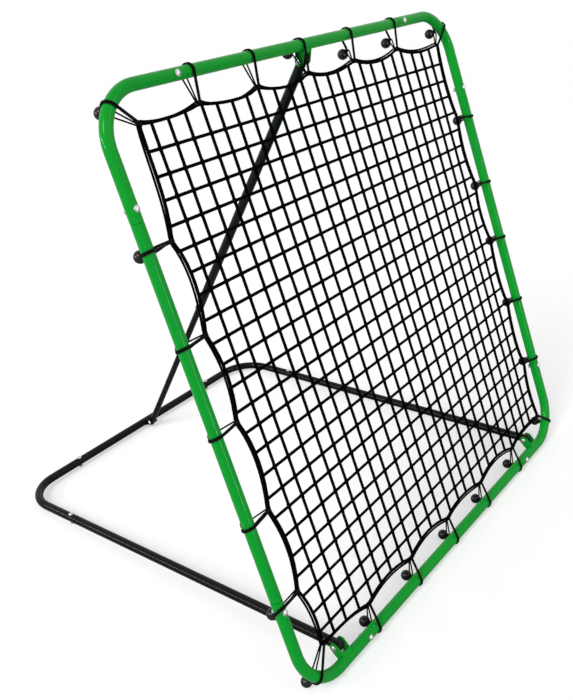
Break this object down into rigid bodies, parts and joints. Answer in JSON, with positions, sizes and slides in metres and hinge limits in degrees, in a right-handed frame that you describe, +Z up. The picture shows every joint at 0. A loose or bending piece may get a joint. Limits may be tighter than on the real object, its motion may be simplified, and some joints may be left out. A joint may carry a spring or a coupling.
{
  "type": "pitch back rebounder",
  "caption": "Leaning square tube frame with an elastic square-mesh net, hinged to a U-shaped floor base and held at its angle by a telescopic strut; it throws a ball back.",
  "frame": {"origin": "on the floor below the middle of the front frame's bottom tube", "axes": "+X along the bottom tube, to the right as the thrower sees it; +Y back towards the base's back tube; +Z up"},
  "size_m": [1.2278, 1.0861, 1.1637],
  "materials": {
    "frame_green": "gloss powder coat",
    "base_black": "semi-gloss powder coat",
    "strut_charcoal": "semi-gloss powder coat",
    "zinc_steel": "bright zinc plate",
    "net_cord": "knotless nylon twine",
    "elastic_cord": "sheathed elastic cord",
    "ball_plastic": "gloss",
    "plug_plastic": "satin"
  },
  "bodies": {
    "base": {"base_elbow_left": "base_black", "base_elbow_right": "base_black", "base_side_tube_left": "base_black", "base_side_tube_right": "base_black", "base_back_tube": "base_black", "strut_foot_bracket": "base_black", "base_end_plugs": "plug_plastic", "base_bolts": "zinc_steel", "base_nuts": "zinc_steel", "strut_foot_bolt": "zinc_steel", "strut_foot_nut": "zinc_steel"},
    "front_frame": {"frame_elbow_top_left": "frame_green", "frame_elbow_top_right": "frame_green", "frame_elbow_bottom_left": "frame_green", "frame_elbow_bottom_right": "frame_green", "frame_tube_top": "frame_green", "frame_tube_bottom": "frame_green", "frame_tube_left": "frame_green", "frame_tube_right": "frame_green", "hinge_bracket_left": "frame_green", "hinge_bracket_right": "frame_green", "strut_hanger_bracket": "frame_green", "frame_bolts": "zinc_steel", "frame_nuts": "zinc_steel", "hinge_bolts": "zinc_steel", "hinge_nuts": "zinc_steel", "strut_top_bolt": "zinc_steel", "strut_top_nut": "zinc_steel", "net_mesh": "net_cord", "net_border_rope": "net_cord", "bungee_cords_bottom": "elastic_cord", "bungee_cords_right": "elastic_cord", "bungee_cords_top": "elastic_cord", "bungee_cords_left": "elastic_cord", "bungee_cords_corner": "elastic_cord", "bungee_balls": "ball_plastic"},
    "strut_upper": {"strut_outer_tube": "strut_charcoal", "strut_top_cap": "plug_plastic"},
    "strut_lower": {"strut_inner_tube": "strut_charcoal", "strut_foot_plug": "plug_plastic", "snap_spring": "zinc_steel"},
    "button": {"snap_button": "zinc_steel"}
  },
  "joints": [
    {"name": "frame_tilt", "type": "hinge", "parent": "base", "child": "front_frame", "pos_m": [0, 0.02406, 0.03859], "axis": [-1, 0, 0], "range_deg": [0, 15], "deforming": ["snap_button", "snap_spring"]},
    {"name": "strut_foot_pivot", "type": "hinge", "parent": "base", "child": "strut_lower", "pos_m": [0, 1.03588, 0.01954], "axis": [-1, 0, 0], "range_deg": [0, 8.98]},
    {"name": "strut_top_pivot", "type": "hinge", "parent": "front_frame", "child": "strut_upper", "pos_m": [0, 0.39038, 1.11467], "axis": [-1, 0, 0], "range_deg": [-6.04, 0]},
    {"name": "button_press", "type": "slide", "parent": "strut_lower", "child": "button", "axis": [1, 0, 0], "range_m": [0, 0.0046], "stiffness_N_per_m": 800, "deforming": ["snap_spring"]}
  ],
  "couplings": [
    {"joint": "strut_foot_pivot", "follows": "frame_tilt", "ratio": 0.598},
    {"joint": "strut_top_pivot", "follows": "frame_tilt", "ratio": -0.402}
  ]
}
